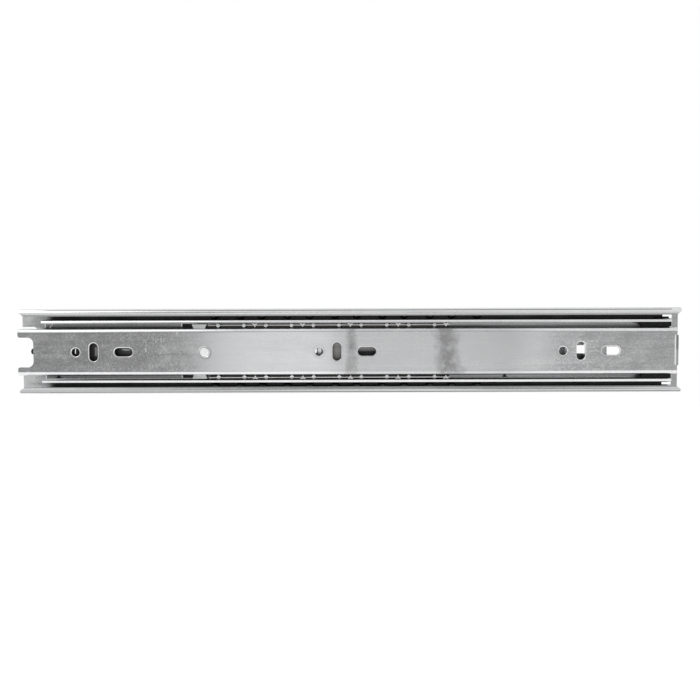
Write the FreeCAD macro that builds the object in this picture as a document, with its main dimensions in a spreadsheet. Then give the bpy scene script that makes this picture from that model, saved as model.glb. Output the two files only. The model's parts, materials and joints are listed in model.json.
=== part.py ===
import FreeCAD, Part
import math
import os
import Sketcher

os.makedirs("parts", exist_ok=True)
doc = FreeCAD.newDocument("DrawerSlide")

# Side-mounted, full-extension ball slide, closed. X runs along the slide with the front end
# at -X, Z is up and the drawer side looks along -Y. The cabinet member's back is at Y = 0.
# "Depth" always means the distance from that back face towards the drawer.
sizeValues = {
    "slideLength": 350,
    "slideHeight": 45,
    "slideDepth": 12.7,
    "gauge": 1.2,
    "midGauge": 1.2,
    "outerBallDiameter": 4.5,
    "innerBallDiameter": 3.2,
    "raceClearance": 0.05,
    "seatClearance": 0.02,
    "cabinetLipDepth": 9.6,
    "cabinetLipReach": 3.75,
    "cabinetLipDrop": 0.7,
    "cabinetBend": 2.8,
    "cabinetLipBend": 2.8,
    "lipChamferLength": 2.6,
    "lipChamferHeight": 1.9,
    "frontNotchLength": 8.7,
    "frontNotchHeight": 25.8,
    "midFrontSetback": 12.3,
    "midRearSetback": 5.5,
    "midWebDepth": 2.4,
    "midLipDepth": 10.5,
    "midLipReach": 1.65,
    "midBend": 2.3,
    "midLipBend": 1.6,
    "drawerFrontSetback": 0.5,
    "drawerRearSetback": 3.3,
    "drawerFlangeDepth": 5.3,
    "drawerBend": 1.85,
    "notchLength": 8.2,
    "notchHeight": 15.6,
    "notchCorner": 3,
    "prongCorner": 1.2,
    "rearRecessLength": 1.3,
    "rearRecessHeight": 16.8,
    "holePitch": 128,
    "drawerHoleStart": 30.4,
    "verticalSlotOffset": 9.4,
    "horizontalSlotOffset": 25.2,
    "drawerHoleDiameter": 4.2,
    "slotLength": 9.4,
    "slotWidth": 4.3,
    "holeRim": 0.6,
    "cabinetHoleStart": 26.9,
    "cabinetSlotOffset": 14.6,
    "cabinetHoleDiameter": 4.6,
    "countersink": 0.8,
    "accessDiameter": 10,
    "rearWindowStart": 289.5,
    "rearWindowLength": 32.5,
    "rearWindowHeight": 11,
    "frontLanceStart": 17.4,
    "frontLanceLength": 4.2,
    "catchLanceStart": 86.1,
    "catchLanceLength": 5.3,
    "rearLanceStart": 255.7,
    "rearLanceLength": 3.6,
    "lanceLow": 12.5,
    "lanceHigh": 14.9,
    "screwWindowStart": 312.3,
    "screwWindowLength": 9.5,
    "screwWindowHeight": 8,
    "stopSetback": 2.8,
    "stopWidth": 16,
    "stopHeight": 9.2,
    "stopWindowLength": 5,
    "stopWindowHeight": 37.8,
    "stopRoot": 0.4,
    "retainerGauge": 0.5,
    "outerRetainerStart": 92,
    "outerRetainerLength": 162,
    "outerRetainerDepth": 1.45,
    "outerBallDepth": 4.8,
    "outerBallStart": 11.2,
    "outerPairs": 6,
    "innerRetainerStart": 100.5,
    "innerRetainerLength": 127.4,
    "innerRetainerDepth": 3.95,
    "innerRetainerEdge": 9,
    "innerBallDepth": 7.2,
    "innerBallStart": 5,
    "innerPairs": 5,
    "ballPitch": 25.2,
    "ballPairSpacing": 13.6,
    "pocketClearance": 0.1,
    "leverPivotX": 98.1,
    "leverTail": 14,
    "leverReach": 92,
    "leverWidth": 8.6,
    "leverDepth": 7,
    "leverThickness": 3.4,
    "leverBossDiameter": 7.6,
    "rivetDiameter": 3,
    "rivetHeadDiameter": 4.6,
    "rivetHeadRound": 0.36,
    "rivetSeatWidth": 1.6,
    "rivetSeatDepth": 0.9,
    "rivetTailHeight": 0.6,
    "catchLength": 7.8,
    "catchHeight": 2.2,
    "catchDepth": 6.6,
    "catchThickness": 2.6,
    "catchGap": 1,
    "bumperNose": 7.1,
    "bumperGrip": 1.7,
    "bumperWidth": 3.4,
    "bumperWall": 0.8,
    "detentLength": 17.4,
    "detentBase": 9,
    "detentThickness": 1.45,
    "detentArmSlant": 2.5,
    "detentGap": 0.25,
    "detentArmDepth": 9.1,
    "detentChamfer": 0.6,
    "detentPegDiameter": 4,
}

sheet = doc.addObject("Spreadsheet::Sheet", "Sizes")
for row, (sizeName, sizeNumber) in enumerate(sizeValues.items(), 1):
    sheet.set(f"A{row}", sizeName)
    sheet.set(f"B{row}", str(sizeNumber))
    sheet.setAlias(f"B{row}", sizeName)
doc.recompute()


class Size:
    # A number together with the spreadsheet expression that drives it.
    def __init__(self, number, text):
        self.number = number
        self.text = text

    def __add__(self, other):
        other = asSize(other)
        return Size(self.number + other.number, f"({self.text} + {other.text})")

    def __sub__(self, other):
        other = asSize(other)
        return Size(self.number - other.number, f"({self.text} - {other.text})")

    def __mul__(self, other):
        other = asSize(other)
        return Size(self.number * other.number, f"({self.text} * {other.text})")

    def __truediv__(self, other):
        other = asSize(other)
        return Size(self.number / other.number, f"({self.text} / {other.text})")

    def __neg__(self):
        return Size(-self.number, f"(0 - {self.text})")

    def __radd__(self, other):
        return asSize(other) + self

    def __rsub__(self, other):
        return asSize(other) - self


def asSize(value):
    if isinstance(value, Size):
        return value
    return Size(float(value), f"{float(value):.6g}")


def size(name):
    return Size(float(sizeValues[name]), f"Sizes.{name}")


def bind(item, path, value):
    item.setExpression(path, asSize(value).text)


slideLength = size("slideLength")
cabinetHalf = size("slideHeight") / 2
slideDepth = size("slideDepth")
gauge = size("gauge")
midGauge = size("midGauge")
outerGap = size("outerBallDiameter") + size("raceClearance") * 2
innerGap = size("innerBallDiameter") + size("raceClearance") * 2
midHalf = cabinetHalf - gauge - outerGap
drawerHalf = midHalf - midGauge - innerGap
outerBallHeight = cabinetHalf - gauge - outerGap / 2
innerBallHeight = midHalf - midGauge - innerGap / 2
cabinetLipEnd = cabinetHalf - size("cabinetLipReach")
midLipEnd = midHalf - size("midLipReach")
cabinetStart = -slideLength / 2
midStart = cabinetStart + size("midFrontSetback")
midLength = slideLength - size("midFrontSetback") - size("midRearSetback")
drawerStart = cabinetStart + size("drawerFrontSetback")
drawerLength = slideLength - size("drawerFrontSetback") - size("drawerRearSetback")
midWebNear = size("midWebDepth") + midGauge
drawerWebBack = slideDepth - gauge


def newBody(label, start):
    body = doc.addObject("PartDesign::Body", label)
    body.Label = label
    bind(body, "Placement.Base.x", start)
    return body


def newSketch(body, name, role, offset=0):
    sketch = body.newObject("Sketcher::SketchObject", name)
    plane = next(item for item in body.Origin.OriginFeatures if item.Role == role)
    sketch.AttachmentSupport = [(plane, "")]
    sketch.MapMode = "FlatFace"
    bind(sketch, "AttachmentOffset.Base.z", offset)
    return sketch


def pin(sketch, geometry, position, point):
    for kind, axis, value in (("DistanceX", -2, point[0]), ("DistanceY", -1, point[1])):
        value = asSize(value)
        if value.number == 0:
            sketch.addConstraint(Sketcher.Constraint("PointOnObject", geometry, position, axis))
        elif value.number > 0:
            rule = Sketcher.Constraint(kind, -1, 1, geometry, position, value.number)
            bind(sketch, f"Constraints[{sketch.addConstraint(rule)}]", value)
        else:
            rule = Sketcher.Constraint(kind, geometry, position, -1, 1, -value.number)
            bind(sketch, f"Constraints[{sketch.addConstraint(rule)}]", -value)


def flat(point):
    return FreeCAD.Vector(asSize(point[0]).number, asSize(point[1]).number, 0)


def addPolygon(sketch, corners):
    count = len(corners)
    lines = []
    for index in range(count):
        edge = Part.LineSegment(flat(corners[index]), flat(corners[(index + 1) % count]))
        lines.append(sketch.addGeometry(edge))
    for index in range(count):
        following = lines[(index + 1) % count]
        sketch.addConstraint(Sketcher.Constraint("Coincident", lines[index], 2, following, 1))
    for index in range(count):
        pin(sketch, lines[index], 1, corners[index])


def addBox(sketch, left, bottom, right, top):
    addPolygon(sketch, [(left, bottom), (right, bottom), (right, top), (left, top)])


def setRadius(sketch, geometry, radius):
    rule = Sketcher.Constraint("Radius", geometry, asSize(radius).number)
    bind(sketch, f"Constraints[{sketch.addConstraint(rule)}]", radius)


def addCircle(sketch, centre, radius):
    circle = Part.Circle(flat(centre), FreeCAD.Vector(0, 0, 1), asSize(radius).number)
    geometry = sketch.addGeometry(circle)
    pin(sketch, geometry, 3, centre)
    setRadius(sketch, geometry, radius)


def addSlot(sketch, centre, length, width, upright=False):
    reach = (length - width) / 2
    radius = width / 2
    if upright:
        ends = [(centre[0], reach + centre[1]), (centre[0], centre[1] - reach)]
        side = FreeCAD.Vector(radius.number, 0, 0)
        turn = 0
    else:
        ends = [(reach + centre[0], centre[1]), (centre[0] - reach, centre[1])]
        side = FreeCAD.Vector(0, -radius.number, 0)
        turn = -90
    arcs = []
    for index, end in enumerate(ends):
        circle = Part.Circle(flat(end), FreeCAD.Vector(0, 0, 1), radius.number)
        begin = math.radians(turn + 180 * index)
        arcs.append(sketch.addGeometry(Part.ArcOfCircle(circle, begin, begin + math.pi)))
    first = sketch.addGeometry(Part.LineSegment(flat(ends[0]) - side, flat(ends[1]) - side))
    second = sketch.addGeometry(Part.LineSegment(flat(ends[1]) + side, flat(ends[0]) + side))
    sketch.addConstraint(Sketcher.Constraint("Tangent", arcs[0], 2, first, 1))
    sketch.addConstraint(Sketcher.Constraint("Tangent", first, 2, arcs[1], 1))
    sketch.addConstraint(Sketcher.Constraint("Tangent", arcs[1], 2, second, 1))
    sketch.addConstraint(Sketcher.Constraint("Tangent", second, 2, arcs[0], 1))
    for arc, end in zip(arcs, ends):
        pin(sketch, arc, 3, end)
        setRadius(sketch, arc, radius)


def pad(body, sketch, length):
    feature = body.newObject("PartDesign::Pad", sketch.Name + "Pad")
    feature.Profile = sketch
    bind(feature, "Length", length)
    sketch.Visibility = False
    body.Tip = feature
    doc.recompute()
    return feature


def pocket(body, sketch, length, reversedCut=False):
    before = body.Shape.Volume
    feature = body.newObject("PartDesign::Pocket", sketch.Name + "Cut")
    feature.Profile = sketch
    feature.Reversed = reversedCut
    bind(feature, "Length", length)
    sketch.Visibility = False
    body.Tip = feature
    doc.recompute()
    if body.Shape.Volume > before - 0.05:
        raise RuntimeError(f"{sketch.Name} removes nothing")
    return feature


def edgesAlong(body, axis, spots):
    # Straight edges parallel to one axis, found by where they cross the other two.
    others = [index for index in range(3) if index != axis]
    names = []
    for number, edge in enumerate(body.Tip.Shape.Edges, 1):
        ends = [vertex.Point for vertex in edge.Vertexes]
        if len(ends) != 2 or abs(ends[0][axis] - ends[1][axis]) < 1e-4:
            continue
        for spot in spots:
            places = [(other, asSize(value).number) for other, value in zip(others, spot)]
            if all(abs(end[other] - place) < 1e-3 for end in ends for other, place in places):
                names.append(f"Edge{number}")
    if len(names) < len(spots):
        raise RuntimeError(f"{body.Label}: {len(names)} edges found for {len(spots)} places")
    return names


def rimEdges(body, depth):
    # Every edge round an opening in the flat face at this depth.
    for face in body.Tip.Shape.Faces:
        box = face.BoundBox
        if box.YLength < 1e-4 and abs(box.YMin + asSize(depth).number) < 1e-3 and len(face.Wires) > 1:
            rims = [wire for wire in face.Wires if not wire.isSame(face.OuterWire)]
            keys = [edge for wire in rims for edge in wire.Edges]
            edges = enumerate(body.Tip.Shape.Edges, 1)
            return [f"Edge{number}" for number, edge in edges if any(edge.isSame(key) for key in keys)]
    raise RuntimeError(f"{body.Label}: no openings found")


def dress(body, kind, name, edges, amount):
    base = body.Tip
    feature = body.newObject(f"PartDesign::{kind}", name)
    feature.Base = (base, edges)
    bind(feature, "Radius" if kind == "Fillet" else "Size", amount)
    body.Tip = feature
    doc.recompute()
    return feature


def channelCorners(half, back, sheetGauge, near, lipEnd, lipDrop):
    # Upper half of a lipped channel, listed from the back of the web round to the inside.
    inner = half - sheetGauge
    upper = [
        (-back, half),
        (-near, half),
        (lipDrop - near, lipEnd),
        (lipDrop + sheetGauge - near, lipEnd),
        (sheetGauge - near, inner),
        (-(back + sheetGauge), inner),
    ]
    return upper + [(depth, -height) for depth, height in reversed(upper)]


def bendChannel(body, half, back, sheetGauge, near, webBend, lipBend):
    inner = half - sheetGauge
    outside = [(-back, half), (-back, -half)]
    inside = [(-(back + sheetGauge), inner), (-(back + sheetGauge), -inner)]
    lipOutside = [(-near, half), (-near, -half)]
    lipInside = [(sheetGauge - near, inner), (sheetGauge - near, -inner)]
    name = body.Label
    dress(body, "Fillet", name + "WebOutside", edgesAlong(body, 0, outside), webBend)
    dress(body, "Fillet", name + "WebInside", edgesAlong(body, 0, inside), webBend - sheetGauge)
    dress(body, "Fillet", name + "LipOutside", edgesAlong(body, 0, lipOutside), lipBend)
    dress(body, "Fillet", name + "LipInside", edgesAlong(body, 0, lipInside), lipBend - sheetGauge)


def cabinetMember():
    body = newBody("cabinet_member", cabinetStart)
    lipDepth = size("cabinetLipDepth")
    section = newSketch(body, "cabinetSection", "YZ_Plane")
    drop = size("cabinetLipDrop")
    addPolygon(section, channelCorners(cabinetHalf, asSize(0), gauge, lipDepth, cabinetLipEnd, drop))
    pad(body, section, slideLength)
    bendChannel(body, cabinetHalf, asSize(0), gauge, lipDepth, size("cabinetBend"), size("cabinetLipBend"))
    cutCabinetEnds(body, lipDepth)
    cutCabinetHoles(body)
    addRearStop(body)
    return body


def cutCabinetEnds(body, lipDepth):
    run = size("lipChamferLength")
    rise = size("lipChamferHeight")
    lips = newSketch(body, "lipCorners", "XZ_Plane", lipDepth)
    for side in (1, -1):
        tip = (cabinetLipEnd + rise) * side
        edge = cabinetLipEnd * side
        clear = (cabinetLipEnd - rise) * side
        addPolygon(lips, [(0, clear), (run, clear), (run, edge), (0, tip)])
        rear = slideLength - run
        addPolygon(lips, [(slideLength, clear), (slideLength, tip), (rear, edge), (rear, clear)])
    pocket(body, lips, gauge + size("cabinetLipDrop") * 2)
    half = size("frontNotchHeight") / 2
    notch = newSketch(body, "cabinetNotch", "XZ_Plane", gauge)
    addBox(notch, 0, -half, size("frontNotchLength"), half)
    pocket(body, notch, gauge)
    corners = [(size("frontNotchLength"), half), (size("frontNotchLength"), -half)]
    dress(body, "Fillet", "cabinetNotchCorners", edgesAlong(body, 1, corners), size("notchCorner"))


def cutCabinetHoles(body):
    holes = newSketch(body, "cabinetHoles", "XZ_Plane", gauge)
    for index in range(3):
        place = size("cabinetHoleStart") + size("holePitch") * index
        addCircle(holes, (place, 0), size("cabinetHoleDiameter") / 2)
        addSlot(holes, (place + size("cabinetSlotOffset"), asSize(0)), size("slotLength"), size("slotWidth"))
    pocket(body, holes, gauge)
    dress(body, "Chamfer", "cabinetCountersinks", rimEdges(body, gauge), size("countersink"))
    window = newSketch(body, "screwWindow", "XZ_Plane", gauge)
    begin = size("screwWindowStart")
    half = size("screwWindowHeight") / 2
    addBox(window, begin, -half, begin + size("screwWindowLength"), half)
    pocket(body, window, gauge)


def addRearStop(body):
    near = slideLength - size("stopSetback")
    half = size("stopWidth") / 2
    opening = size("stopWindowHeight") / 2
    end = near - size("stopRoot")
    window = newSketch(body, "stopWindow", "XZ_Plane", gauge)
    addBox(window, end - size("stopWindowLength"), -opening, end, opening)
    pocket(body, window, gauge)
    tab = newSketch(body, "stopTab", "YZ_Plane", near)
    addBox(tab, -size("stopHeight"), -half, 0, half)
    pad(body, tab, gauge)


def intermediateMember():
    body = newBody("intermediate_member", midStart)
    back = size("midWebDepth")
    lipDepth = size("midLipDepth")
    section = newSketch(body, "midSection", "YZ_Plane")
    addPolygon(section, channelCorners(midHalf, back, midGauge, lipDepth, midLipEnd, asSize(0)))
    pad(body, section, midLength)
    bendChannel(body, midHalf, back, midGauge, lipDepth, size("midBend"), size("midLipBend"))
    openings = newSketch(body, "midOpenings", "XZ_Plane", midWebNear)
    shift = size("cabinetHoleStart") - size("midFrontSetback")
    for index in (1, 2):
        addCircle(openings, (shift + size("holePitch") * index, 0), size("accessDiameter") / 2)
    windowCentre = size("rearWindowStart") + size("rearWindowLength") / 2 - size("midFrontSetback")
    addSlot(openings, (windowCentre, asSize(0)), size("rearWindowLength"), size("rearWindowHeight"))
    pegRadius = size("detentPegDiameter") / 2 + size("raceClearance")
    addCircle(openings, (midLength - size("detentBase") / 2, 0), pegRadius)
    addLances(openings)
    pocket(body, openings, midGauge)
    return body


def addLances(openings):
    # Small openings left in the race floor where the stops are pressed out of the sheet.
    low = size("lanceLow")
    high = size("lanceHigh")
    begin = size("catchLanceStart") - size("midFrontSetback")
    end = begin + size("catchLanceLength")
    for side in (1, -1):
        window = [(begin, low), (end, low), (end, high), (begin, high)]
        addPolygon(openings, [(along, level * side) for along, level in window])
    for place in ("frontLance", "rearLance"):
        left = size(place + "Start") - size("midFrontSetback")
        right = left + size(place + "Length")
        addPolygon(openings, [(left, -high), (right, -high), ((left + right) / 2, -low)])


def drawerMember():
    body = newBody("drawer_member", drawerStart)
    inner = drawerHalf - gauge
    flange = size("drawerFlangeDepth")
    section = newSketch(body, "drawerSection", "YZ_Plane")
    upper = [(-slideDepth, drawerHalf), (-flange, drawerHalf), (-flange, inner), (-drawerWebBack, inner)]
    addPolygon(section, upper + [(depth, -height) for depth, height in reversed(upper)])
    pad(body, section, drawerLength)
    outside = [(-slideDepth, drawerHalf), (-slideDepth, -drawerHalf)]
    inside = [(-drawerWebBack, inner), (-drawerWebBack, -inner)]
    dress(body, "Fillet", "drawerOutsideBends", edgesAlong(body, 0, outside), size("drawerBend"))
    dress(body, "Fillet", "drawerInsideBends", edgesAlong(body, 0, inside), size("drawerBend") - gauge)
    cutDrawerEnds(body)
    cutDrawerHoles(body)
    addCatches(body)
    return body


def cutDrawerEnds(body):
    depth = size("notchLength")
    half = size("notchHeight") / 2
    notch = newSketch(body, "drawerNotch", "XZ_Plane", slideDepth)
    addBox(notch, 0, -half, depth, half)
    pocket(body, notch, gauge)
    floor = [(depth, half), (depth, -half)]
    tips = [(0, half), (0, -half)]
    dress(body, "Fillet", "drawerNotchFloor", edgesAlong(body, 1, floor), size("notchCorner"))
    dress(body, "Fillet", "drawerProngTips", edgesAlong(body, 1, tips), size("prongCorner"))
    begin = drawerLength - size("rearRecessLength")
    high = size("rearRecessHeight") / 2
    recess = newSketch(body, "drawerRearRecess", "XZ_Plane", slideDepth)
    addBox(recess, begin, -high, drawerLength, high)
    pocket(body, recess, gauge)
    corners = [(begin, high), (begin, -high)]
    dress(body, "Fillet", "drawerRecessCorners", edgesAlong(body, 1, corners), size("prongCorner") * 0.8)


def cutDrawerHoles(body):
    holes = newSketch(body, "drawerHoles", "XZ_Plane", slideDepth)
    for index in range(3):
        place = size("drawerHoleStart") + size("holePitch") * index
        addCircle(holes, (place, 0), size("drawerHoleDiameter") / 2)
        upright = (place + size("verticalSlotOffset"), asSize(0))
        level = (place + size("horizontalSlotOffset"), asSize(0))
        addSlot(holes, upright, size("slotLength"), size("slotWidth"), upright=True)
        addSlot(holes, level, size("slotLength"), size("slotWidth"))
    pocket(body, holes, gauge)
    dress(body, "Fillet", "drawerHoleRims", rimEdges(body, slideDepth), size("holeRim"))
    shank = size("rivetDiameter") / 2 + size("seatClearance")
    hole = newSketch(body, "rivetHole", "XZ_Plane", slideDepth)
    addCircle(hole, (size("leverPivotX"), 0), shank)
    pocket(body, hole, gauge)
    edges = [name for name in rimEdges(body, slideDepth) if isRivetRim(body, name)]
    seat = dress(body, "Chamfer", "rivetSeat", edges, size("rivetSeatWidth"))
    seat.ChamferType = "Two distances"
    bind(seat, "Size2", size("rivetSeatDepth"))
    doc.recompute()


def isRivetRim(body, name):
    box = body.Tip.Shape.getElement(name).BoundBox
    return abs(box.Center.x - size("leverPivotX").number) < 1e-3


def addCatches(body):
    # Ears on the outside of both flanges that stop the inner ball retainer.
    end = size("innerRetainerStart") - size("drawerFrontSetback") - size("catchGap")
    begin = end - size("catchLength")
    high = drawerHalf + size("catchHeight")
    near = size("catchDepth")
    far = near + size("catchThickness")
    low = drawerHalf - gauge / 2
    ears = newSketch(body, "catchEars", "XZ_Plane", near)
    for side in (1, -1):
        taper = size("catchHeight") / 2
        root = [(begin + taper, low * side), (end - taper, low * side)]
        addPolygon(ears, root + [(end, high * side), (begin, high * side)])
    pad(body, ears, far - near)


def ballRetainer(label, start, length, back, near, height, firstBall, pairs, ballDepth, ball, windows):
    body = newBody(label, start)
    thick = size("retainerGauge")
    outer = height + thick / 2
    inner = height - thick / 2
    section = newSketch(body, label + "Section", "YZ_Plane")
    upper = [(-back, outer), (-near, outer), (-near, inner), (-(back + thick), inner)]
    addPolygon(section, upper + [(depth, -level) for depth, level in reversed(upper)])
    pad(body, section, length)
    holes = newSketch(body, label + "Pockets", "XY_Plane", -outer - thick)
    radius = ball / 2 + size("pocketClearance")
    for offset in (asSize(0), size("ballPairSpacing")):
        addCircle(holes, (firstBall + offset, -ballDepth), radius)
    cut = pocket(body, holes, (outer + thick) * 2, reversedCut=True)
    pattern = body.newObject("PartDesign::LinearPattern", label + "Pattern")
    pattern.Originals = [cut]
    pattern.Direction = (holes, ["H_Axis"])
    bind(pattern, "Length", size("ballPitch") * (size(pairs) - 1))
    bind(pattern, "Occurrences", size(pairs))
    body.Tip = pattern
    doc.recompute()
    openings = newSketch(body, label + "Openings", "XZ_Plane", back + thick)
    for centre, width, tall in windows:
        addSlot(openings, (asSize(centre), asSize(0)), asSize(width), asSize(tall))
    pocket(body, openings, thick)
    return body


def outerBallRetainer():
    start = cabinetStart + size("outerRetainerStart")
    length = size("outerRetainerLength")
    edge = size("cabinetLipDepth") - size("cabinetLipDrop") - gauge - size("pocketClearance")
    tall = cabinetHalf * 0.8
    windows = [(length * 0.39, length * 0.3, tall), (length * 0.8, length * 0.2, tall)]
    return ballRetainer(
        "outer_ball_retainer", start, length,
        size("outerRetainerDepth"), edge, outerBallHeight,
        size("outerBallStart"), "outerPairs", size("outerBallDepth"), size("outerBallDiameter"), windows)


def innerBallRetainer():
    start = cabinetStart + size("innerRetainerStart")
    length = size("innerRetainerLength")
    windows = [(length * 0.41, length * 0.15, drawerHalf), (length * 0.86, length * 0.12, drawerHalf * 0.8)]
    return ballRetainer(
        "inner_ball_retainer", start, length,
        size("innerRetainerDepth"), size("innerRetainerEdge"), innerBallHeight,
        size("innerBallStart"), "innerPairs", size("innerBallDepth"), size("innerBallDiameter"), windows)


def ballRow(label, start, pairs, ballDepth, height, diameter):
    balls = []
    for index in range(2 * int(size(pairs).number)):
        ball = doc.addObject("Part::Sphere", f"{label}_{index + 1}")
        place = start + size("ballPitch") * (index // 2) + size("ballPairSpacing") * (index % 2)
        bind(ball, "Radius", diameter / 2)
        bind(ball, "Placement.Base.x", place)
        bind(ball, "Placement.Base.y", -ballDepth)
        bind(ball, "Placement.Base.z", height)
        balls.append(ball)
    row = doc.addObject("Part::Compound", label)
    row.Label = label
    row.Links = balls
    doc.recompute()
    return row


def ballRows():
    outer = cabinetStart + size("outerRetainerStart") + size("outerBallStart")
    inner = cabinetStart + size("innerRetainerStart") + size("innerBallStart")
    rows = []
    for name, side in (("upper", 1), ("lower", -1)):
        rows.append(ballRow(
            f"outer_balls_{name}", outer, "outerPairs", size("outerBallDepth"),
            outerBallHeight * side, size("outerBallDiameter")))
        rows.append(ballRow(
            f"inner_balls_{name}", inner, "innerPairs", size("innerBallDepth"),
            innerBallHeight * side, size("innerBallDiameter")))
    return rows


def releaseLever():
    # The long catch lever inside the drawer member, its own front at X = 0 and pivot at leverTail.
    tail = size("leverTail")
    reach = tail + size("leverReach")
    half = size("leverWidth") / 2
    body = newBody("release_lever", drawerStart + size("leverPivotX") - tail)
    outline = newSketch(body, "leverOutline", "XZ_Plane", size("leverDepth"))
    low = -half * 1.95
    hook = reach - half * 2.6
    addPolygon(outline, [
        (0, -half * 0.8),
        (tail + half, -half * 1.1),
        (tail + half * 6, low),
        (reach, low),
        (reach, -half * 0.1),
        (hook, -half * 0.1),
        (hook - half * 0.6, -half * 1.15),
        (tail + half * 8, -half * 1.15),
        (tail + half, half),
        (0, half * 0.8),
    ])
    pad(body, outline, size("leverThickness"))
    ends = [(0, -half * 0.8), (0, half * 0.8), (reach, low), (reach, -half * 0.1)]
    dress(body, "Fillet", "leverCorners", edgesAlong(body, 1, ends), half * 0.3)
    bossTop = drawerWebBack - size("seatClearance")
    bossBase = size("leverDepth") + size("leverThickness")
    boss = newSketch(body, "leverBoss", "XZ_Plane", bossBase)
    addCircle(boss, (tail, 0), size("leverBossDiameter") / 2)
    pad(body, boss, bossTop - bossBase)
    bore = newSketch(body, "leverBore", "XZ_Plane", bossTop)
    addCircle(bore, (tail, 0), size("rivetDiameter") / 2 + size("raceClearance"))
    pocket(body, bore, bossTop - size("leverDepth"))
    return body


def leverRivet():
    body = newBody("lever_rivet", drawerStart + size("leverPivotX"))
    shank = size("rivetDiameter") / 2
    head = size("rivetHeadDiameter") / 2
    top = slideDepth - size("seatClearance") * 2
    slope = size("rivetSeatDepth") / size("rivetSeatWidth")
    under = slideDepth - size("rivetSeatDepth") + size("seatClearance")
    rim = (head - shank) * slope + under
    tail = size("leverDepth") - size("seatClearance")
    end = tail - size("rivetTailHeight")
    half = newSketch(body, "rivetHalf", "XY_Plane")
    addPolygon(half, [
        (0, -top), (head, -top), (head, -rim), (shank, -under),
        (shank, -tail), (head, -tail), (head, -end), (0, -end),
    ])
    feature = body.newObject("PartDesign::Revolution", "rivetTurn")
    feature.Profile = half
    feature.ReferenceAxis = (half, ["V_Axis"])
    feature.Angle = 360
    body.Tip = feature
    doc.recompute()
    dress(body, "Fillet", "rivetHeadRound", ringEdges(body, top, head), size("rivetHeadRound"))
    return body


def ringEdges(body, depth, radius):
    names = []
    for number, edge in enumerate(body.Tip.Shape.Edges, 1):
        box = edge.BoundBox
        level = box.YLength < 1e-4 and abs(box.YMin + depth.number) < 1e-3
        if level and abs(box.XLength / 2 - radius.number) < 1e-3:
            names.append(f"Edge{number}")
    if not names:
        raise RuntimeError(f"{body.Label}: no ring at this depth")
    return names


def frontBumper():
    # Soft nose clipped over the front edge of the intermediate web.
    nose = size("bumperNose")
    grip = size("bumperGrip")
    slack = size("seatClearance")
    wall = size("bumperWall")
    half = size("bumperWidth") / 2
    back = size("midWebDepth") - wall
    body = newBody("front_bumper", midStart - nose)
    outline = newSketch(body, "bumperOutline", "XZ_Plane", back)
    addBox(outline, 0, -half, nose + grip, half)
    pad(body, outline, midGauge + wall * 2)
    tips = [(0, half), (0, -half)]
    dress(body, "Fillet", "bumperNoseRound", edgesAlong(body, 1, tips), half * 0.95)
    groove = newSketch(body, "bumperGroove", "XY_Plane", -half * 1.2)
    webBack = size("midWebDepth") - slack
    addBox(groove, nose - slack, -(midWebNear + slack), nose + grip + wall, -webBack)
    pocket(body, groove, half * 2.4, reversedCut=True)
    return body


def closingDetent():
    # Spring clip at the rear of the intermediate member that holds the drawer member shut.
    length = size("detentLength")
    base = size("detentBase")
    seat = midWebNear + size("seatClearance")
    low = drawerHalf + size("detentGap")
    high = midLipEnd - size("pocketClearance")
    body = newBody("closing_detent", midStart + midLength - length)
    plate = newSketch(body, "detentPlate", "XZ_Plane", seat)
    addBox(plate, length - base, -high, length, high)
    pad(body, plate, size("detentThickness"))
    arms = newSketch(body, "detentArms", "XZ_Plane", seat)
    for side in (1, -1):
        front = (size("detentArmSlant"), low * side)
        addPolygon(arms, [front, (length, low * side), (length, high * side), (0, high * side)])
    pad(body, arms, size("detentArmDepth") - seat)
    corners = [(-seat, high), (-seat, -high)]
    dress(body, "Chamfer", "detentCorners", edgesAlong(body, 0, corners), size("detentChamfer"))
    peg = newSketch(body, "detentPeg", "XZ_Plane", size("midWebDepth"))
    addCircle(peg, (length - base / 2, 0), size("detentPegDiameter") / 2)
    pad(body, peg, midGauge + size("detentThickness") / 2)
    return body


nodes = [cabinetMember(), intermediateMember(), drawerMember(), outerBallRetainer(), innerBallRetainer()]
nodes += ballRows()
nodes += [releaseLever(), leverRivet(), frontBumper(), closingDetent()]
doc.recompute()

for item in doc.Objects:
    if "Invalid" in item.State or "Error" in item.State:
        raise RuntimeError(f"{item.Label} did not build: {item.State}")
for node in nodes:
    if node.Shape.isNull() or not node.Shape.isValid():
        raise RuntimeError(f"{node.Label} has no sound shape")
    node.Shape.exportStep(f"parts/{node.Label}.step")
    box = node.Shape.BoundBox
    print(f"{node.Label}: {len(node.Shape.Solids)} solid(s), {node.Shape.Volume:.1f} mm3,"
          f" X {box.XMin:.2f} {box.XMax:.2f}, Y {box.YMin:.2f} {box.YMax:.2f},"
          f" Z {box.ZMin:.2f} {box.ZMax:.2f}")
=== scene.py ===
import json
import math
import bpy
import bmesh
from mathutils import Matrix, Vector


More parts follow.
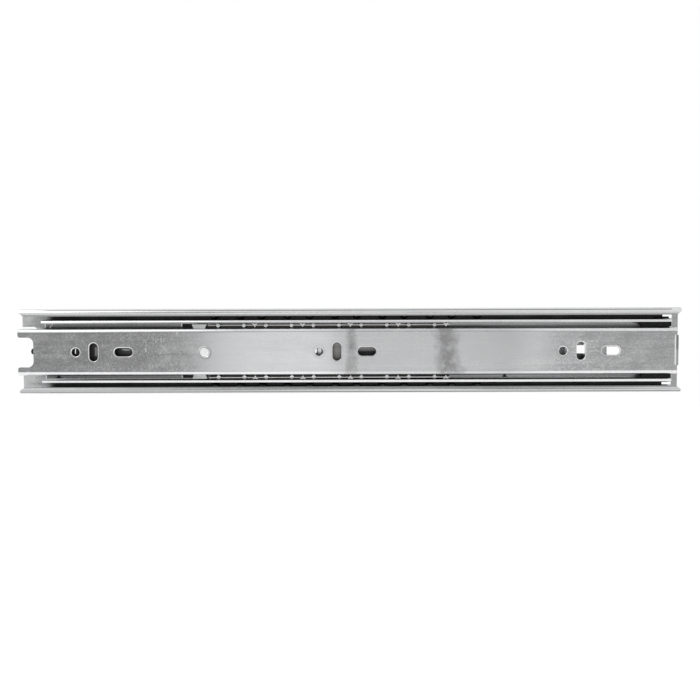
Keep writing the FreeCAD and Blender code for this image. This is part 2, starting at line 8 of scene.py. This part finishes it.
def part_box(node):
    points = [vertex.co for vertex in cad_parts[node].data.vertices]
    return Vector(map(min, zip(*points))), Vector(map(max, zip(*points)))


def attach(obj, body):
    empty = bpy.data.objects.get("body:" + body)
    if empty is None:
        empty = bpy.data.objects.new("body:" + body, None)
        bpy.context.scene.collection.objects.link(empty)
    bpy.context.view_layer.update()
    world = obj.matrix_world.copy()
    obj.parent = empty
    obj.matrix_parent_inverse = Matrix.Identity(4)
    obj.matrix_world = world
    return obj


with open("model.json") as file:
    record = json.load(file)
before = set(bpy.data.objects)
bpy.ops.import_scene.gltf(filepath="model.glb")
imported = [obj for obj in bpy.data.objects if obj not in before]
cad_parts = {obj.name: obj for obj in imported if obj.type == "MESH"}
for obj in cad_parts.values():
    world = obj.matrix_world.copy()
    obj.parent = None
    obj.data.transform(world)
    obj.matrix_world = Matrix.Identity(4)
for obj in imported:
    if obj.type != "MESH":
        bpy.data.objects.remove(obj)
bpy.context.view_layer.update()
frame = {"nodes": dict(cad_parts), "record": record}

cadNodes = frame["nodes"]
mm = 0.001
print("frame loaded:", len(cadNodes), "nodes")


def plug(tree, socket, value):
    if isinstance(value, Wire):
        tree.links.new(value.socket, socket)
    else:
        socket.default_value = value


def addNode(tree, kind, settings=None, sockets=None):
    # any shader node: its settings first, then the values or links of its sockets
    node = tree.nodes.new(kind)
    for key, value in (settings or {}).items():
        setattr(node, key, value)
    for key, value in (sockets or {}).items():
        plug(tree, node.inputs[key], value)
    return node


class Wire:
    # one shader socket, so that masks can be written as plain sums
    def __init__(self, tree, socket):
        self.tree = tree
        self.socket = socket

    def through(self, operation, *values):
        sockets = dict(enumerate(values))
        node = addNode(self.tree, "ShaderNodeMath", {"operation": operation}, sockets)
        return Wire(self.tree, node.outputs[0])

    def __add__(self, other):
        return self.through("ADD", self, other)

    def __radd__(self, other):
        return self.through("ADD", other, self)

    def __sub__(self, other):
        return self.through("SUBTRACT", self, other)

    def __rsub__(self, other):
        return self.through("SUBTRACT", other, self)

    def __mul__(self, other):
        return self.through("MULTIPLY", self, other)

    def __rmul__(self, other):
        return self.through("MULTIPLY", other, self)

    def __pow__(self, other):
        return self.through("POWER", self, other)

    def __abs__(self):
        return self.through("ABSOLUTE", self)

    def larger(self, other):
        return self.through("MAXIMUM", self, other)

    def between(self, low, high):
        # 0 below low, 1 above high, eased
        sockets = {"Value": self, "From Min": low, "From Max": high}
        node = addNode(self.tree, "ShaderNodeMapRange", {"interpolation_type": "SMOOTHSTEP"}, sockets)
        return Wire(self.tree, node.outputs[0])

    def stretched(self, scale):
        node = addNode(self.tree, "ShaderNodeVectorMath", {"operation": "MULTIPLY"}, {0: self, 1: scale})
        return Wire(self.tree, node.outputs[0])

    def split(self):
        node = addNode(self.tree, "ShaderNodeSeparateXYZ", sockets={0: self})
        return [Wire(self.tree, output) for output in node.outputs]


class Finish:
    # one material and the few calls that its recipe needs
    def __init__(self, name):
        self.material = bpy.data.materials.new(name)
        self.material.use_nodes = True
        self.tree = self.material.node_tree
        self.shader = self.tree.nodes["Principled BSDF"]

    def node(self, kind, settings=None, sockets=None, out=0):
        return Wire(self.tree, addNode(self.tree, kind, settings, sockets).outputs[out])

    def place(self):
        return self.node("ShaderNodeTexCoord", out="Object")

    def noise(self, where, scale, detail=3, roughness=0.55, distortion=0.0):
        sockets = {"Vector": where, "Scale": scale, "Detail": detail, "Roughness": roughness}
        sockets["Distortion"] = distortion
        return self.node("ShaderNodeTexNoise", sockets=sockets)

    def blend(self, factor, first, second):
        return self.node("ShaderNodeMix", {"data_type": "RGBA"}, {0: factor, 6: first, 7: second}, out=2)

    def bump(self, height, strength, distance):
        sockets = {"Strength": strength, "Distance": distance, "Height": height}
        return self.node("ShaderNodeBump", sockets=sockets, out="Normal")

    def paint(self, **sockets):
        for key, value in sockets.items():
            plug(self.tree, self.shader.inputs[key.replace("_", " ")], value)
        return self.material


# scales are in features to the metre
zincLook = {
    "light": (0.77, 0.775, 0.78, 1), "dark": (0.59, 0.595, 0.605, 1),
    "smooth": 0.11, "rough": 0.22,
    "cloudScale": 70, "grainScale": 1500,
    "streakStretch": (9, 420, 420), "fineStretch": (40, 3200, 3200),  # rolling marks run along the rail
    "relief": 0.02 * mm, "reliefStrength": 0.3,
}
# near-black tint for painted shade in the races, the gaps and along the lip edges
shadeLook = {"tint": (0.023, 0.022, 0.021, 1), "rough": 0.42}
# light tint: real scuffs on the drawer member, painted light on the cabinet's front end
wearAndSheenLook = {"tint": (0.92, 0.92, 0.92, 1), "rough": 0.34}
# dark tint: real smears on the drawer member, and painted shade round its holes and rivet
smearAndShadeLook = {"tint": (0.3, 0.3, 0.305, 1), "rough": 0.24}


def zincPlate(name, paintedShade=None, smearedAndShaded=None, wearAndSheen=None):
    finish = Finish(name)
    place = finish.place()
    clouds = finish.noise(place.stretched((1, 1, 1.6)), zincLook["cloudScale"], 4)
    streaks = finish.noise(place.stretched(zincLook["streakStretch"]), 1, 4, 0.6, 0.7)
    fineStreaks = finish.noise(place.stretched(zincLook["fineStretch"]), 1, 2)
    grain = finish.noise(place, zincLook["grainScale"], 3)
    tone = (clouds * 0.25 + streaks * 0.2 + fineStreaks * 0.1 + grain * 0.45).between(0.3, 0.7)
    dull = (clouds * 0.45 + streaks * 0.3 + grain * 0.25).between(0.32, 0.7)
    relief = streaks * 0.5 + fineStreaks * 0.2 + grain * 0.3
    colour = finish.blend(tone, zincLook["dark"], zincLook["light"])
    rough = dull * (zincLook["rough"] - zincLook["smooth"]) + zincLook["smooth"]
    # real smears, a wide darker band, and painted shade round the holes and the rivet, blended towards the
    # dark tint
    if smearedAndShaded:
        smearAndShade = smearedAndShaded(finish, place)
        colour = finish.blend(smearAndShade, colour, smearAndShadeLook["tint"])
        rough = rough + smearAndShade * smearAndShadeLook["rough"]
    # real scuffs and grit on the drawer member, painted light on the cabinet's front end, blended towards
    # the light tint
    if wearAndSheen:
        bare = wearAndSheen(finish, place)
        rough = rough + bare * wearAndSheenLook["rough"]
        colour = finish.blend(bare, colour, wearAndSheenLook["tint"])
    # painted shade in the races, the gaps and along the lip edges, blended towards the near-black tint
    if paintedShade:
        darkening = paintedShade(place) * (clouds * 0.2 + 0.9)
        colour = finish.blend(darkening, colour, shadeLook["tint"])
        rough = rough * (1 - darkening) + darkening * shadeLook["rough"]
    normal = finish.bump(relief, zincLook["reliefStrength"], zincLook["relief"])
    return finish.paint(Base_Color=colour, Metallic=1.0, Roughness=rough, Normal=normal)


cabinetLook = {
    "shadeFront": -164 * mm, "shadeRear": 169 * mm, "raceShade": 0.94,
    "upperLip": 0.36,  # how much painted shade darkens the lip edges
    "lowerLip": 0.42, "lowerFade": 0.26,
    "upperLine": 0.2,  # a painted dark line of shade along each lip
    "lowerLine": 0.6, "lowerLineHeight": -21.5 * mm,
    "lightFront": -172 * mm, "lightScale": 160,
}


def withinCabinet(y):
    return y.between(-8.6 * mm, -8.2 * mm) * (1 - y.between(-0.4 * mm, -0.2 * mm))


def cabinetShade(place):
    # painted shade on the race walls and the floor that the other members cover, and painted shade bands
    # and lines along the lip edges
    x, y, z = place.split()
    height = abs(z)
    front, rear = cabinetLook["shadeFront"], cabinetLook["shadeRear"]
    along = x.between(front, front + 6 * mm) * (1 - x.between(rear, rear + 1.5 * mm))
    covered = height.between(10.5 * mm, 11.5 * mm) * (1 - height.between(21.6 * mm, 22.0 * mm))
    race = covered * along * withinCabinet(y) * cabinetLook["raceShade"]
    lipFace = 1 - y.between(-8.8 * mm, -8.6 * mm)
    upper = (1 - z.between(19.0 * mm, 21.0 * mm)) * z.between(0, 1 * mm) * cabinetLook["upperLip"]
    fading = cabinetLook["lowerLip"] - x.between(-90 * mm, 60 * mm) * cabinetLook["lowerFade"]
    lower = (1 - z.between(-20.6 * mm, -19.4 * mm)) * fading
    upperLine = (1 - z.between(19.5 * mm, 20.1 * mm)) * z.between(0, 1 * mm)
    lowerLine = 1 - abs(z - cabinetLook["lowerLineHeight"]).between(0.2 * mm, 0.6 * mm)
    lipBend = 1 - y.between(-6.4 * mm, -5.4 * mm)
    lines = lipFace * upperLine * cabinetLook["upperLine"] + lipBend * lowerLine * cabinetLook["lowerLine"]
    return race.larger(lipFace * (upper + lower) + lines)


def frontPaintedLight(finish, place):
    # painted light: a lighter, duller patch at the end of the cabinet member that the sliding members
    # never reach, fading towards the rear
    x, y, z = place.split()
    clouds = finish.noise(place, cabinetLook["lightScale"], 3) * 0.4 + 0.25
    front = cabinetLook["lightFront"]
    fading = 1 - x.between(front, front + 10 * mm) * 0.75
    return fading * (1 - x.between(front + 10 * mm, front + 16 * mm)) * withinCabinet(y) * clouds


middleLook = {"beside": 0.88, "underLip": 0.4, "web": 0.8, "webRearLighter": 0.3, "raceRearLighter": 0.22}


def middleShade(place):
    # painted shade: dark beside the drawer member and outside the flanges, and over the web, lighter
    # towards the rear
    x, y, z = place.split()
    height = abs(z)
    deep = y.between(-9.9 * mm, -9.2 * mm) * (1 - y.between(-2.7 * mm, -2.5 * mm))
    underLip = height.between(12.7 * mm, 13.8 * mm) * middleLook["underLip"]
    race = height.between(10.2 * mm, 11.2 * mm) * (middleLook["beside"] - underLip)
    raceRearEase = 1 - x.between(60 * mm, 100 * mm) * middleLook["raceRearLighter"]
    outside = height.between(15.3 * mm, 16.2 * mm)
    webRearEase = 1 - x.between(-60 * mm, -20 * mm) * middleLook["webRearLighter"]
    web = (1 - height.between(9 * mm, 10 * mm)) * webRearEase * middleLook["web"]
    return (race * raceRearEase).larger(outside).larger(web) * deep


drawerLook = {
    "firstSmear": 1.0 * mm, "firstWidth": 7.0 * mm, "firstDepth": 0.86,
    "secondSmear": 51.5 * mm, "secondWidth": 12.5 * mm, "secondDepth": 1.02,
    "darkBand": 0.34, "darkBandMiddle": 42 * mm,
    "ragged": 7 * mm, "raggedScale": 90,
    "rubsFrom": -112 * mm, "rubsTo": -92 * mm,
    "grit": 0.2, "gritScale": 1150,
    "rivetShade": 0.75, "rivetX": -76 * mm, "rivetZ": -0.4 * mm,
    "holeShade": 0.3, "holeStep": 128 * mm, "middleHole": -16.1 * mm,
    "uprightSlot": 9.4 * mm, "levelSlot": 25.2 * mm,  # behind the round hole of the same set
    "slotRun": 2.55 * mm,
}


def holeShadeRings(x, z):
    # a painted ring of shade round each hole, the same for every set
    half = drawerLook["holeStep"] / 2
    local = x.through("WRAP", x - drawerLook["middleHole"], half, -half)
    run = drawerLook["slotRun"]
    shapes = ((0, 0, 0), (drawerLook["uprightSlot"], 0, run), (drawerLook["levelSlot"], run, 0))
    shadeRings = 0
    for middle, halfRun, halfRise in shapes:
        aside = (abs(local - middle) - halfRun).larger(0)
        above = (abs(z) - halfRise).larger(0)
        distance = (aside ** 2 + above ** 2) ** 0.5
        shadeRings = shadeRings + distance.between(2.8 * mm, 3.0 * mm) * (1 - distance.between(3.1 * mm, 3.7 * mm))
    return shadeRings * drawerLook["holeShade"]


def drawerSmearsAndShade(finish, place):
    # two dull smears, a wide darker band round them, and painted shade round the holes and in the rivet's
    # seat
    x, y, z = place.split()
    ragged = (finish.noise(place, drawerLook["raggedScale"], 4) - 0.5) * drawerLook["ragged"]
    fromFirst = abs(x + ragged * 0.7 - drawerLook["firstSmear"])
    fromSecond = abs(x + ragged - drawerLook["secondSmear"] + z * 0.12)
    first = (1 - fromFirst.between(0.0, drawerLook["firstWidth"])) * drawerLook["firstDepth"]
    second = (1 - fromSecond.between(0.0, drawerLook["secondWidth"])) * drawerLook["secondDepth"]
    darkBand = (1 - abs(x - drawerLook["darkBandMiddle"]).between(40 * mm, 62 * mm)) * drawerLook["darkBand"]
    clouded = finish.noise(place, 230, 4).between(0.25, 0.7) * 0.5 + 0.62
    speckle = finish.noise(place, 1300, 3).between(0.25, 0.6) * 0.25 + 0.8
    fromRivet = ((x - drawerLook["rivetX"]) ** 2 + (z - drawerLook["rivetZ"]) ** 2) ** 0.5
    seatShade = fromRivet.between(2.4 * mm, 2.7 * mm) * (1 - fromRivet.between(2.9 * mm, 3.9 * mm))
    shadeRings = holeShadeRings(x, z) * x.between(-40 * mm, -30 * mm)
    smears = darkBand.larger((first + second) * clouded * speckle)
    return smears.larger(seatShade * drawerLook["rivetShade"]).larger(shadeRings)


def frontRubs(finish, place):
    # faint upright scuffs behind the front holes and fine bright grit at both ends
    x, y, z = place.split()
    lines = finish.noise(place.stretched((1500, 1, 260)), 1, 3).between(0.52, 0.8)
    patch = finish.noise(place, 130, 2).between(0.4, 0.62)
    front, rear = drawerLook["rubsFrom"], drawerLook["rubsTo"]
    scuffs = lines * patch * x.between(front - 8 * mm, front) * (1 - x.between(rear, rear + 8 * mm))
    ends = abs(x - 10 * mm).between(70 * mm, 110 * mm) * drawerLook["grit"]
    grit = finish.noise(place, drawerLook["gritScale"], 2).between(0.42, 0.72)
    return scuffs.larger(grit * ends)


cageLook = {
    "light": (0.62, 0.62, 0.62, 1), "dark": (0.42, 0.41, 0.4, 1), "rough": 0.26,
    "outerShade": 0.97, "innerShade": 0.9, "webShade": 0.5,  # how much painted shade darkens each part
}


def cageSteel():
    finish = Finish("cageSteel")
    place = finish.place()
    x, y, z = place.split()
    height = abs(z)
    clouds = finish.noise(place, 180, 4)
    streaks = finish.noise(place.stretched((30, 1500, 1500)), 1, 3)
    tone = (clouds * 0.6 + streaks * 0.4).between(0.3, 0.7)
    # painted shade: the outer rows, the inner rows and the web of the cage are darkened towards the
    # near-black tint
    outerRows = height.between(16.4 * mm, 17.0 * mm) * cageLook["outerShade"]
    deep = y.between(-8.9 * mm, -8.4 * mm)
    innerRows = height.between(10.5 * mm, 11.5 * mm) * deep * cageLook["innerShade"]
    web = (1 - height.between(9.5 * mm, 10.5 * mm)) * cageLook["webShade"]
    darkening = web.larger(outerRows.larger(innerRows))
    bare = finish.blend(tone, cageLook["dark"], cageLook["light"])
    return finish.paint(
        Base_Color=finish.blend(darkening, bare, shadeLook["tint"]),
        Metallic=1.0,
        Roughness=cageLook["rough"] + clouds * 0.15,
        Normal=finish.bump(streaks + clouds * 0.4, 0.3, 0.02 * mm))


brightLook = {"dark": (0.92, 0.92, 0.92, 1), "light": (1, 1, 1, 1), "rough": 0.36}


def brightSteel(name):
    finish = Finish(name)
    clouds = finish.noise(finish.place(), 900, 3)
    return finish.paint(
        Base_Color=finish.blend(clouds, brightLook["dark"], brightLook["light"]),
        Metallic=1.0,
        Roughness=brightLook["rough"] + clouds * 0.12,
        Normal=finish.bump(clouds, 0.1, 0.01 * mm))


ballLook = {
    "clean": (0.95, 0.95, 0.96, 1),
    "filmed": (0.75, 0.745, 0.72, 1),
    # painted shade: nearly black, for balls that sit in shade
    "shadowed": (0.03, 0.03, 0.03, 1),
}


def ballSteel(name, coat, shadowed=0.0):
    # how much of the ball is painted nearly black, as painted shade
    finish = Finish(name)
    darkening = finish.noise(finish.place(), 420, 3).between(0.45, 0.7) * (1 - shadowed) + shadowed
    return finish.paint(
        Base_Color=finish.blend(darkening, ballLook["clean"], ballLook[coat]),
        Metallic=1.0,
        Roughness=0.06 + darkening * (0.16 + shadowed * 0.3),
        Normal=finish.bump(darkening, 0.1, 0.01 * mm))


plasticLook = {"base": (0.006, 0.006, 0.0065, 1), "wearAndSheen": (0.018, 0.018, 0.018, 1)}


def mouldedPlastic():
    finish = Finish("mouldedPlastic")
    place = finish.place()
    grain = finish.noise(place, 3200, 2)
    wear = finish.noise(place, 240, 4).between(0.5, 0.75)
    return finish.paint(
        Base_Color=finish.blend(wear, plasticLook["base"], plasticLook["wearAndSheen"]),
        Roughness=0.42 + grain * 0.16,
        Specular_IOR_Level=0.2,
        Normal=finish.bump(grain, 0.25, 0.02 * mm))


rubberLook = {"base": (0.02, 0.02, 0.021, 1), "dusty": (0.06, 0.06, 0.058, 1)}


def bumperRubber():
    finish = Finish("bumperRubber")
    place = finish.place()
    dust = finish.noise(place, 900, 4).between(0.5, 0.7)
    return finish.paint(
        Base_Color=finish.blend(dust, rubberLook["base"], rubberLook["dusty"]),
        Roughness=0.7 + dust * 0.2,
        Normal=finish.bump(finish.noise(place, 4200, 2), 0.3, 0.02 * mm))


# by node where a piece has its own marks, and by material slot for the rest
shadowedBalls = ballSteel("ballShadowed", "shadowed", shadowed=0.95)
finishes = {
    "cabinet_member": zincPlate("zincCabinet", paintedShade=cabinetShade, wearAndSheen=frontPaintedLight),
    "intermediate_member": zincPlate("zincMiddle", paintedShade=middleShade),
    "drawer_member": zincPlate("zincDrawer", smearedAndShaded=drawerSmearsAndShade, wearAndSheen=frontRubs),
    # the outer balls under the cabinet lips are painted nearly black: painted shade
    "outer_balls_upper": shadowedBalls,
    "outer_balls_lower": shadowedBalls,
    "rivet_steel": brightSteel("rivetSteel"),
    "retainer_steel": cageSteel(),
    # painted highlight: the crimps and race tabs take this near-white steel, much lighter than the sheet
    # they are pressed from
    "crimp_steel": brightSteel("crimpHighlight"),
    "ball_steel": ballSteel("ballSteel", "filmed"),
    "black_plastic": mouldedPlastic(),
    "bumper_rubber": bumperRubber(),
}
print("finishes mixed:", ", ".join(finishes))


def dressNodes():
    for part in frame["record"]["subparts"]:
        name = part["node"] if part["node"] in finishes else part["material_slot"]
        cadNodes[part["node"]].data.materials.clear()
        cadNodes[part["node"]].data.materials.append(finishes[name])


edgeLook = {"width": 0.12 * mm, "steps": 2, "sharperThan": math.radians(50)}


def softenEdges(name):
    # the cut edges of sheet are never knife sharp
    piece = cadNodes[name]
    weld = piece.modifiers.new("weld", "WELD")
    weld.merge_threshold = 0.002 * mm
    flat = piece.modifiers.new("flat", "DECIMATE")
    flat.decimate_type = "DISSOLVE"
    flat.angle_limit = math.radians(0.4)
    bevel = piece.modifiers.new("edge", "BEVEL")
    bevel.width = edgeLook["width"]
    bevel.segments = edgeLook["steps"]
    bevel.limit_method = "ANGLE"
    bevel.angle_limit = edgeLook["sharperThan"]
    bevel.harden_normals = True


class Sheetwork:
    # gathers small folded or turned shapes into one mesh, in millimetres
    def __init__(self):
        self.shape = bmesh.new()

    def plate(self, outline, back, front, slope=0.0):
        # an outline in X and Z, pushed from one depth to another; a slope lets the front fall away along X
        start = outline[0][0]
        near = [self.shape.verts.new(Vector((x, (x - start) * slope - front, z)) * mm) for x, z in outline]
        far = [self.shape.verts.new(Vector((x, -back, z)) * mm) for x, z in outline]
        self.shape.faces.new(near)
        self.shape.faces.new(reversed(far))
        for index in range(len(outline)):
            following = (index + 1) % len(outline)
            self.shape.faces.new((near[following], near[index], far[index], far[following]))

    def ring(self, centre, radius, depth, steps):
        if radius == 0:
            return [self.shape.verts.new(Vector((centre[0], -depth, centre[1])) * mm)] * steps
        corners = []
        for step in range(steps):
            turn = math.tau * step / steps
            across = radius * math.cos(turn)
            up = radius * math.sin(turn)
            spot = Vector((centre[0] + across, -depth, centre[1] + up))
            corners.append(self.shape.verts.new(spot * mm))
        return corners

    def turned(self, centre, profile, steps=40):
        # a profile of radius and depth, turned about an axis along Y
        rings = [self.ring(centre, radius, depth, steps) for radius, depth in profile]
        for first, second in zip(rings, rings[1:]):
            for step in range(steps):
                following = (step + 1) % steps
                corners = [first[step], first[following], second[following], second[step]]
                self.shape.faces.new(list(dict.fromkeys(corners)))

    def piece(self, name, finish, slot, body, edge=0.0, smooth=False):
        bmesh.ops.recalc_face_normals(self.shape, faces=self.shape.faces)
        for face in self.shape.faces:
            face.smooth = smooth
        mesh = bpy.data.meshes.new(name)
        self.shape.to_mesh(mesh)
        self.shape.free()
        mesh.materials.append(finishes[finish])
        item = bpy.data.objects.new(name, mesh)
        bpy.context.scene.collection.objects.link(item)
        if edge:
            bevel = item.modifiers.new("edge", "BEVEL")
            bevel.width = edge * mm
            bevel.segments = 2
        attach(item, body)


rivetLook = {"radius": 2.75, "rim": 12.0, "crown": 12.68, "dimple": 0.6, "dimpleDepth": 0.5, "skirt": 0.03}


def rivetDome():
    # the rivet's rounded head with its centre dimple, in the seat of the drawer member
    low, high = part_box("lever_rivet")
    centre = ((low.x + high.x) / 2 / mm, (low.z + high.z) / 2 / mm)
    radius, rim, crown, dimple, sunk, skirt = rivetLook.values()
    profile = [(0, crown - 0.1), (dimple * 0.5, crown - 0.12)]  # the boss inside the dimple
    profile += [(dimple, crown - sunk), (dimple * 1.5, crown - 0.05)]
    shares = (0.42, 0.52, 0.62, 0.72, 0.82, 0.91, 1.0)
    profile += [(radius * share, crown - (crown - rim) * share ** 2.4) for share in shares]
    profile += [(radius, rim - skirt)]
    work = Sheetwork()
    work.turned(centre, profile)
    work.piece("rivet_dome", "rivet_steel", "rivet_steel", "drawer", smooth=True)


crimpLook = {
    "first": -50.0, "pitch": 25.2, "count": 5,
    "width": 3.0, "low": 12.8, "high": 14.9, "notch": 0.5,
    "back": 7.9, "front": 8.9,
}


def cageCrimps():
    # folded ties between the ball pairs, in the bright crimp finish: a painted highlight, far lighter than
    # the cage they belong to
    work = Sheetwork()
    half = crimpLook["width"] / 2
    for index in range(crimpLook["count"]):
        middle = crimpLook["first"] + crimpLook["pitch"] * index
        for side in (1, -1):
            high = crimpLook["high"] * side
            tip = (middle, crimpLook["low"] * side)
            notch = (middle, (crimpLook["high"] - crimpLook["notch"]) * side)
            outline = [tip, (middle + half, high), notch, (middle - half, high)]
            work.plate(outline, crimpLook["back"], crimpLook["front"])
    work.piece("cage_crimps", "crimp_steel", "retainer_steel", "inner_cage", edge=0.08)


tabLook = {
    "frontEdge": -162.4, "slant": -159.9, "ear": -89.9,
    "low": 12.6, "high": 15.0, "width": 0.6,
    "back": 3.55, "front": 3.88,
}


def raceTabs():
    # low stops pressed up from the floor of the intermediate race, in the bright crimp finish: a painted
    # highlight against the shaded race
    work = Sheetwork()
    back, front = tabLook["back"], tabLook["front"]
    low, high, width = tabLook["low"], tabLook["high"], tabLook["width"]
    x = tabLook["slant"]
    work.plate([(x, low), (x + 0.5, low), (x + 2.4, high), (x + 1.8, high)], back, front)
    edge = [(0, low), (width, low), (width, high), (0, high)]
    ear = [(0, low + 0.3), (width, low + 0.3), (width + 0.3, high - 0.3), (0.2, high - 0.1)]
    for side in (1, -1):
        for x, outline in ((tabLook["frontEdge"], edge), (tabLook["ear"], ear)):
            work.plate([(x + along, height * side) for along, height in outline], back, front)
    work.piece("race_tabs", "crimp_steel", "zinc_steel", "intermediate", edge=0.08)


lanceLook = {
    "slit": {"x": -146.6, "width": 0.4, "low": -2.6, "high": 1.4, "lean": 0.2},
    "strip": {"x": -135.9, "width": 1.2, "low": -2.6, "high": 2.2, "lean": 0.0},
    "slope": 0.2,
    "lens": [(-121.8, 1.3), (-121.0, 0.5), (-119.6, 0.1), (-117.6, 0.2), (-116.4, 1.3)],
}


def webLance(name, finish):
    # a low mark pressed up from the intermediate web, glimpsed through a front hole; it takes a lighter
    # finish than the shaded web round it: a painted highlight
    look = lanceLook[name]
    x, width, low, high, lean = look.values()
    outline = [(x, low), (x + width, low), (x + width + lean, high), (x + lean, high)]
    work = Sheetwork()
    work.plate(outline, tabLook["back"], tabLook["front"], lanceLook["slope"])
    work.piece("web_" + name, finish, "zinc_steel", "intermediate")


def webLens():
    # the lens mark takes the unshaded drawer finish: a painted highlight on the intermediate web
    work = Sheetwork()
    work.plate(lanceLook["lens"], tabLook["back"], tabLook["front"])
    work.piece("web_lens", "drawer_member", "zinc_steel", "intermediate", edge=0.05)


padLook = {
    "front": 162.5, "rear": 170.0, "low": 15.5, "high": 17.5, "corner": 0.3,
    "back": 1.3, "face": 2.2,
}


def stopPads():
    # small black pads beside the rear stop windows, behind the intermediate member
    work = Sheetwork()
    front, rear, low, high, corner, back, face = padLook.values()
    for side in (1, -1):
        outline = [(front, low), (rear, low), (rear, high - corner), (rear - corner, high), (front, high)]
        work.plate([(x, height * side) for x, height in outline], back, face)
    work.piece("stop_pads", "black_plastic", "black_plastic", "cabinet", edge=0.1)


dressNodes()
for member in ("cabinet_member", "intermediate_member", "drawer_member"):
    softenEdges(member)
print("CAD pieces finished")
rivetDome()
cageCrimps()
raceTabs()
webLance("slit", "ball_steel")
webLance("strip", "retainer_steel")
webLens()
stopPads()
print("small pieces added")

lightLook = {
    "behind": 1.0,
    "front": 0.3,
    "panelHeight": 0.26, "panelDistance": 0.75, "panelDrop": 0.05,
    "frontPanel": {"x": 24 * mm, "width": 403 * mm, "power": 0.21},
    "sidePanel": {"x": 340 * mm, "width": 230 * mm, "power": 0.026},
    "keyPanel": {"spot": (-0.5, -0.2, 0.55), "size": 0.4, "power": 0.85},
}


def studioWorld():
    # white all round, though the steel meets a dimmer patch straight in front of the drawer face
    world = bpy.data.worlds.new("studio")
    bpy.context.scene.world = world
    world.use_nodes = True
    tree = world.node_tree
    way = Wire(tree, addNode(tree, "ShaderNodeTexCoord").outputs["Generated"])
    around = way.split()[1].between(-0.955, -0.8)
    seen = Wire(tree, addNode(tree, "ShaderNodeLightPath").outputs["Is Camera Ray"])
    strength = (around * (lightLook["behind"] - lightLook["front"]) + lightLook["front"]).larger(seen)
    plug(tree, tree.nodes["Background"].inputs["Strength"], strength)
    plug(tree, tree.nodes["Background"].inputs["Color"], (1, 1, 1, 1))


def addLamp(name, power, spot):
    lamp = bpy.data.lights.new(name, "AREA")
    lamp.energy = power
    holder = bpy.data.objects.new(name, lamp)
    holder.location = spot
    bpy.context.scene.collection.objects.link(holder)
    return lamp, holder


def softPanel(name):
    # an upright panel in front, reflected by the flat faces
    look = lightLook[name]
    spot = (look["x"], -lightLook["panelDistance"], -lightLook["panelDrop"])
    lamp, holder = addLamp(name, look["power"], spot)
    lamp.shape = "RECTANGLE"
    lamp.size = look["width"]
    lamp.size_y = lightLook["panelHeight"]
    holder.rotation_euler = (math.pi / 2, 0, 0)


def keyPanel():
    # a large lamp up at the left, aimed at the middle of the slide
    look = lightLook["keyPanel"]
    lamp, holder = addLamp("keyPanel", look["power"], look["spot"])
    lamp.size = look["size"]
    holder.rotation_euler = (-Vector(look["spot"])).to_track_quat("-Z", "Y").to_euler()


floorLook = {"colour": (0.9, 0.9, 0.9, 1), "glow": 0.3, "height": -0.4, "reach": 2.5, "behind": 0.6}


def paleFloor():
    mesh = bpy.data.meshes.new("floor")
    shape = bmesh.new()
    bmesh.ops.create_grid(shape, x_segments=1, y_segments=1, size=floorLook["reach"])
    shape.to_mesh(mesh)
    shape.free()
    floor = bpy.data.objects.new("floor", mesh)
    floor.location = (0, floorLook["behind"], floorLook["height"])
    bpy.context.scene.collection.objects.link(floor)
    finish = Finish("paleFloor")
    finish.paint(Base_Color=floorLook["colour"], Roughness=0.9)
    finish.paint(Emission_Color=(1, 1, 1, 1), Emission_Strength=floorLook["glow"])
    mesh.materials.append(finish.material)


cameraLook = {
    "spot": (3.35 * mm, -613.8 * mm, 40.82 * mm),
    "lens": 59.03,
    "yaw": math.radians(-0.301), "pitch": math.radians(3.806), "roll": math.radians(-0.202),
}


def addCamera():
    look = bpy.data.cameras.new("camera")
    look.lens = cameraLook["lens"]
    look.sensor_width = 36
    look.clip_start = 0.01
    holder = bpy.data.objects.new("camera", look)
    turn = Matrix.Rotation(-cameraLook["yaw"], 4, "Z")
    turn = turn @ Matrix.Rotation(math.pi / 2 - cameraLook["pitch"], 4, "X")
    turn = turn @ Matrix.Rotation(cameraLook["roll"], 4, "Z")
    holder.matrix_world = Matrix.Translation(cameraLook["spot"]) @ turn
    bpy.context.scene.collection.objects.link(holder)
    bpy.context.scene.camera = holder


studioWorld()
softPanel("frontPanel")
softPanel("sidePanel")
keyPanel()
paleFloor()
addCamera()
bpy.context.scene.view_settings.view_transform = "Standard"
print("studio set")
